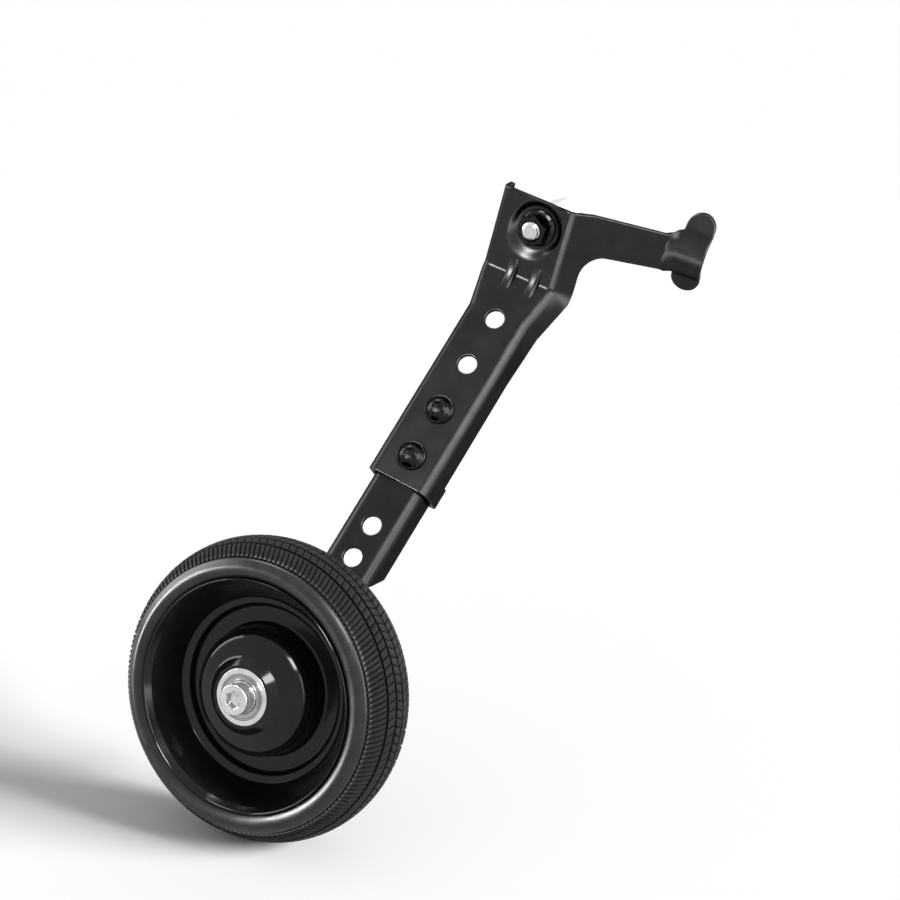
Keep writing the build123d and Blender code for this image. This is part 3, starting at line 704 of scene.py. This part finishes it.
def bearing_finish(name, tone):
    """Bearing steel of this tone, with fine turning marks and a few duller patches."""
    finish, tree, shader, place = new_finish(
        name, base=(tone, tone, tone), metallic=1, roughness=0.22, specular=0.5)
    spread(tree, speckle(tree, place, size=1.5, detail=3), 0.16, 0.28, shader.inputs["Roughness"])
    tint(tree, speckle(tree, place, size=4, detail=3), (0.9 * tone, 0.9 * tone, 0.89 * tone),
         (1.1 * tone, 1.1 * tone, 1.09 * tone), shader.inputs["Base Color"])
    relief(tree, speckle(tree, place, size=0.3, detail=2), 0.003, shader)
    return finish


bearing_steel = bearing_finish("ground_bearing_steel", 0.62)
shield_steel = bearing_finish("pressed_shield_steel", 0.36)
bearing_half = 4.5
bearing_offset = 19.5
ring_outside = 15.0
outer_land = 12.0
inner_land = 8.25
ring_bore = 5.0
shield_low = 3.6
shield_web = 3.8
shield_high = 4.1
for name, side in (("outer", 1), ("inner", -1)):
    bearing_place = wheel_place @ Matrix.Translation((0, 0, side * bearing_offset * mm))
    outer_ring = bmesh.new()
    turn_piece(outer_ring, bearing_place, rounded([
        (outer_land, -bearing_half, 0.35), (ring_outside, -bearing_half, 0.7),
        (ring_outside, bearing_half, 0.7), (outer_land, bearing_half, 0.35)]), 144)
    make_piece(name + "_ground_outer_ring", outer_ring, bearing_steel, "wheel",
               [name + "_bearing_outer_ring"])
    inner_ring = bmesh.new()
    turn_piece(inner_ring, bearing_place, rounded([
        (ring_bore, -bearing_half, 0.4), (inner_land, -bearing_half, 0.35),
        (inner_land, bearing_half, 0.35), (ring_bore, bearing_half, 0.4)]), 96)
    make_piece(name + "_ground_inner_ring", inner_ring, bearing_steel, "bracket_arm",
               [name + "_bearing_inner_ring"])
    shields = bmesh.new()
    for face in (-1, 1):
        turn_piece(shields, bearing_place, rounded([
            (8.55, face * shield_low, 0.1), (11.95, face * shield_low, 0.1),
            (11.95, face * shield_high, 0.2), (11.3, face * shield_high, 0.15),
            (10.95, face * shield_web, 0.15), (9.4, face * shield_web, 0.15),
            (9.1, face * shield_high, 0.15), (8.55, face * shield_high, 0.2)], steps=3), 96)
    make_piece(name + "_pressed_shields", shields, shield_steel, "wheel",
               [name + "_bearing_shields"])
    for hidden in ("_bearing_balls", "_bearing_cage"):
        inside = frame["nodes"][name + hidden]
        inside.data.materials.clear()
        inside.data.materials.append(bearing_steel)

# Bearing spacer: a plain turned steel sleeve, zinc plated. It lies between the two inner rings, out
# of sight in the hub, and keeps the bolt from squeezing the bearings.
spacer = frame["nodes"]["bearing_spacer"]
spacer.data.materials.clear()
spacer.data.materials.append(zinc)

# Wheel axle bolt: a bright socket-head cap screw through both bearings and the foot, with its thread
# at the back for the lock nut.
axle_bolt = bmesh.new()
turn_piece(axle_bolt, wheel_place, [
    (0, 26.4, "round"), (3.6, 27.0, "hex"), (4.0, 27.2, "hex"), (4.0, 31.5, "hex"),
    (4.75, 31.95, "round"), (5.0, 32, "round"), (7.2, 32, "round"), (7.6, 31.88, "round"),
    (7.88, 31.6, "round"), (8, 31.2, "round"), (8, 30.9, "knurl"), (8, 25.0, "knurl"),
    (8, 24.6, "round"), (7.85, 24.15, "round"), (7.5, 24, "round"), (4.95, 24, "round"),
    (4.95, -33.4, "round"), (4.35, -34.1, "round"), (4.35, -46.7, "round"), (3.6, -47.5, "round"),
    (0, -47.5, "round")], 96)
thread_ridge(axle_bolt, wheel_place, root=4.3, crest=4.93, low=-47.3, high=-33.2)
make_piece("socket_axle_bolt", axle_bolt, zinc, "bracket_arm", ["wheel_axle_bolt"])

# Foot bush, lock washer and lock nut: the turned spacer between hub and foot, and the washer and
# nylon-insert nut that hold the bolt behind the foot.
bush = bmesh.new()
turn_piece(bush, wheel_place, rounded([
    (5.0, -31, 0.3), (8.0, -31, 0.5), (8.0, -24, 0.5), (5.0, -24, 0.3)]), 72)
make_piece("turned_bush", bush, zinc, "bracket_arm", ["foot_bush"])
foot_washer = bmesh.new()
turn_piece(foot_washer, wheel_place, rounded([
    (5.0, -36, 0.3), (10.0, -36, 0.6), (10.0, -34, 0.6), (5.0, -34, 0.3)]), 72)
make_piece("flat_lock_washer", foot_washer, zinc, "bracket_arm", ["lock_washer"])
lock_nut = bmesh.new()
turn_piece(lock_nut, wheel_place, [
    (5.0, -36, "round"), (8.2, -36, "round"), (8.5, -36.1, "crown"), (8.5, -42.9, "foot"),
    (7.9, -43.4, "round"), (7.9, -44.6, "round"), (7.6, -45.5, "round"), (7.0, -46, "round"),
    (6.6, -46, "round"), (6.5, -45.6, "round"), (5.0, -45.6, "round")], 72)
make_piece("insert_lock_nut", lock_nut, zinc, "bracket_arm", ["lock_nut"])

# Studio: a plain pale floor under the wheel, a white surround, soft lamps that each draw one shine,
# a low key light for the shadow, and the camera.
tread_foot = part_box("tyre")[0].z
floor_mesh = bpy.data.meshes.new("floor")
floor_reach = 14
floor_mesh.from_pydata(
    [(x * floor_reach, y * floor_reach, tread_foot) for x, y in ((-1, -1), (1, -1), (1, 1), (-1, 1))],
    [], [(0, 1, 2, 3)])
floor = bpy.data.objects.new("floor", floor_mesh)
bpy.context.scene.collection.objects.link(floor)
pale = new_finish("pale_floor", base=(0.93, 0.93, 0.93), metallic=0, roughness=0.8, specular=0.1)[0]
floor_mesh.materials.append(pale)

fill_level = 0.37
world = bpy.data.worlds.new("white_surround")
bpy.context.scene.world = world
world.use_nodes = True
surround = world.node_tree.nodes["Background"]
surround.inputs["Color"].default_value = (1, 1, 1, 1)
rays = world.node_tree.nodes.new("ShaderNodeLightPath")
seen = world.node_tree.nodes.new("ShaderNodeMath")
seen.operation = "MAXIMUM"
world.node_tree.links.new(rays.outputs["Is Camera Ray"], seen.inputs[0])
world.node_tree.links.new(rays.outputs["Is Glossy Ray"], seen.inputs[1])
seen_through = world.node_tree.nodes.new("ShaderNodeMath")
seen_through.operation = "MAXIMUM"
world.node_tree.links.new(seen.outputs["Value"], seen_through.inputs[0])
world.node_tree.links.new(rays.outputs["Is Transmission Ray"], seen_through.inputs[1])
level = world.node_tree.nodes.new("ShaderNodeMapRange")
level.inputs["To Min"].default_value = fill_level
level.inputs["To Max"].default_value = 1
world.node_tree.links.new(seen_through.outputs["Value"], level.inputs["Value"])
world.node_tree.links.new(level.outputs["Result"], surround.inputs["Strength"])


def soft_box(name, place, aim, width, height, brightness, pieces=()):
    """A soft rectangular lamp at a place in metres, aimed at a point, by the brightness of its face.
    It only draws a shine, and one with pieces is flagged off from all the others."""
    lamp = bpy.data.lights.new(name, "AREA")
    lamp.shape = "RECTANGLE"
    lamp.size = width
    lamp.size_y = height
    lamp.energy = brightness * pi * width * height
    box = bpy.data.objects.new(name, lamp)
    box.location = place
    box.rotation_euler = (Vector(aim) - Vector(place)).to_track_quat("-Z", "Y").to_euler()
    box.visible_diffuse = False
    box.visible_camera = False
    bpy.context.scene.collection.objects.link(box)
    if pieces:
        lit = bpy.data.collections.new(name + "_pieces")
        for piece in pieces:
            lit.objects.link(piece)
        box.light_linking.receiver_collection = lit


sleeve_middle = (-0.02, -0.07, -0.07)
wheel_spot = tuple(wheel_middle)
plate_spot = (0, -0.04, -0.02)
bend_spot = (0.015, -0.04, -0.01)
fasteners = [flanged, buttons, washered]
all_but_sheet = [piece for piece in bpy.context.scene.objects
                 if piece.type == "MESH" and piece not in (bracket, arm, floor)]
soft_box("right_box", (1.3, -0.2, 0.05), sleeve_middle, width=1.1, height=1.3, brightness=5)
soft_box("overhead", (-0.5, 0.1, 1.05), plate_spot, width=0.5, height=0.5, brightness=12)
soft_box("top_box", (-0.06, -0.37, 1.0), plate_spot, width=0.34, height=0.34, brightness=24,
         pieces=fasteners)
soft_box("crease_spot", (-0.165, -0.65, 0.19), plate_spot, width=0.14, height=0.14, brightness=70,
         pieces=[bracket])
soft_box("bend_box", (0.14, -0.52, -0.232), bend_spot, width=0.4, height=0.12, brightness=9,
         pieces=[bracket])
soft_box("key_box", (0.64, -0.62, 0.78), wheel_spot, width=0.4, height=0.4, brightness=30,
         pieces=all_but_sheet)
soft_box("sleeve_box", (0.85, -0.65, 0.55), sleeve_middle, width=0.7, height=0.7, brightness=7.5,
         pieces=[bracket, arm])
soft_box("back_box", (0.5, 1.3, 0.5), sleeve_middle, width=1.2, height=0.9, brightness=3)
soft_box("left_box", (-1.25, -0.3, 0.35), wheel_spot, width=0.7, height=0.9, brightness=6)
soft_box("bead_box", (-0.68, -0.63, -0.05), wheel_spot, width=0.26, height=0.4, brightness=46,
         pieces=[treaded])
key = bpy.data.lights.new("key", "SUN")
key.energy = 6.5
key.angle = radians(24)
key_lamp = bpy.data.objects.new("key", key)
key_way = Vector((-0.93, -0.14, -0.34))
key_lamp.rotation_euler = key_way.to_track_quat("-Z", "Y").to_euler()
key_lamp.visible_glossy = False
bpy.context.scene.collection.objects.link(key_lamp)

camera = bpy.data.cameras.new("camera")
camera.lens = 83.4
camera.sensor_width = 36
camera_place = Vector((0.4516, -1.0209, 0.2643))
camera_look = Vector((-0.429, 0.837, -0.339))
viewer = bpy.data.objects.new("camera", camera)
viewer.location = camera_place
viewer.rotation_euler = camera_look.to_track_quat("-Z", "Y").to_euler()
bpy.context.scene.collection.objects.link(viewer)
bpy.context.scene.camera = viewer
bpy.context.scene.view_settings.view_transform = "Standard"
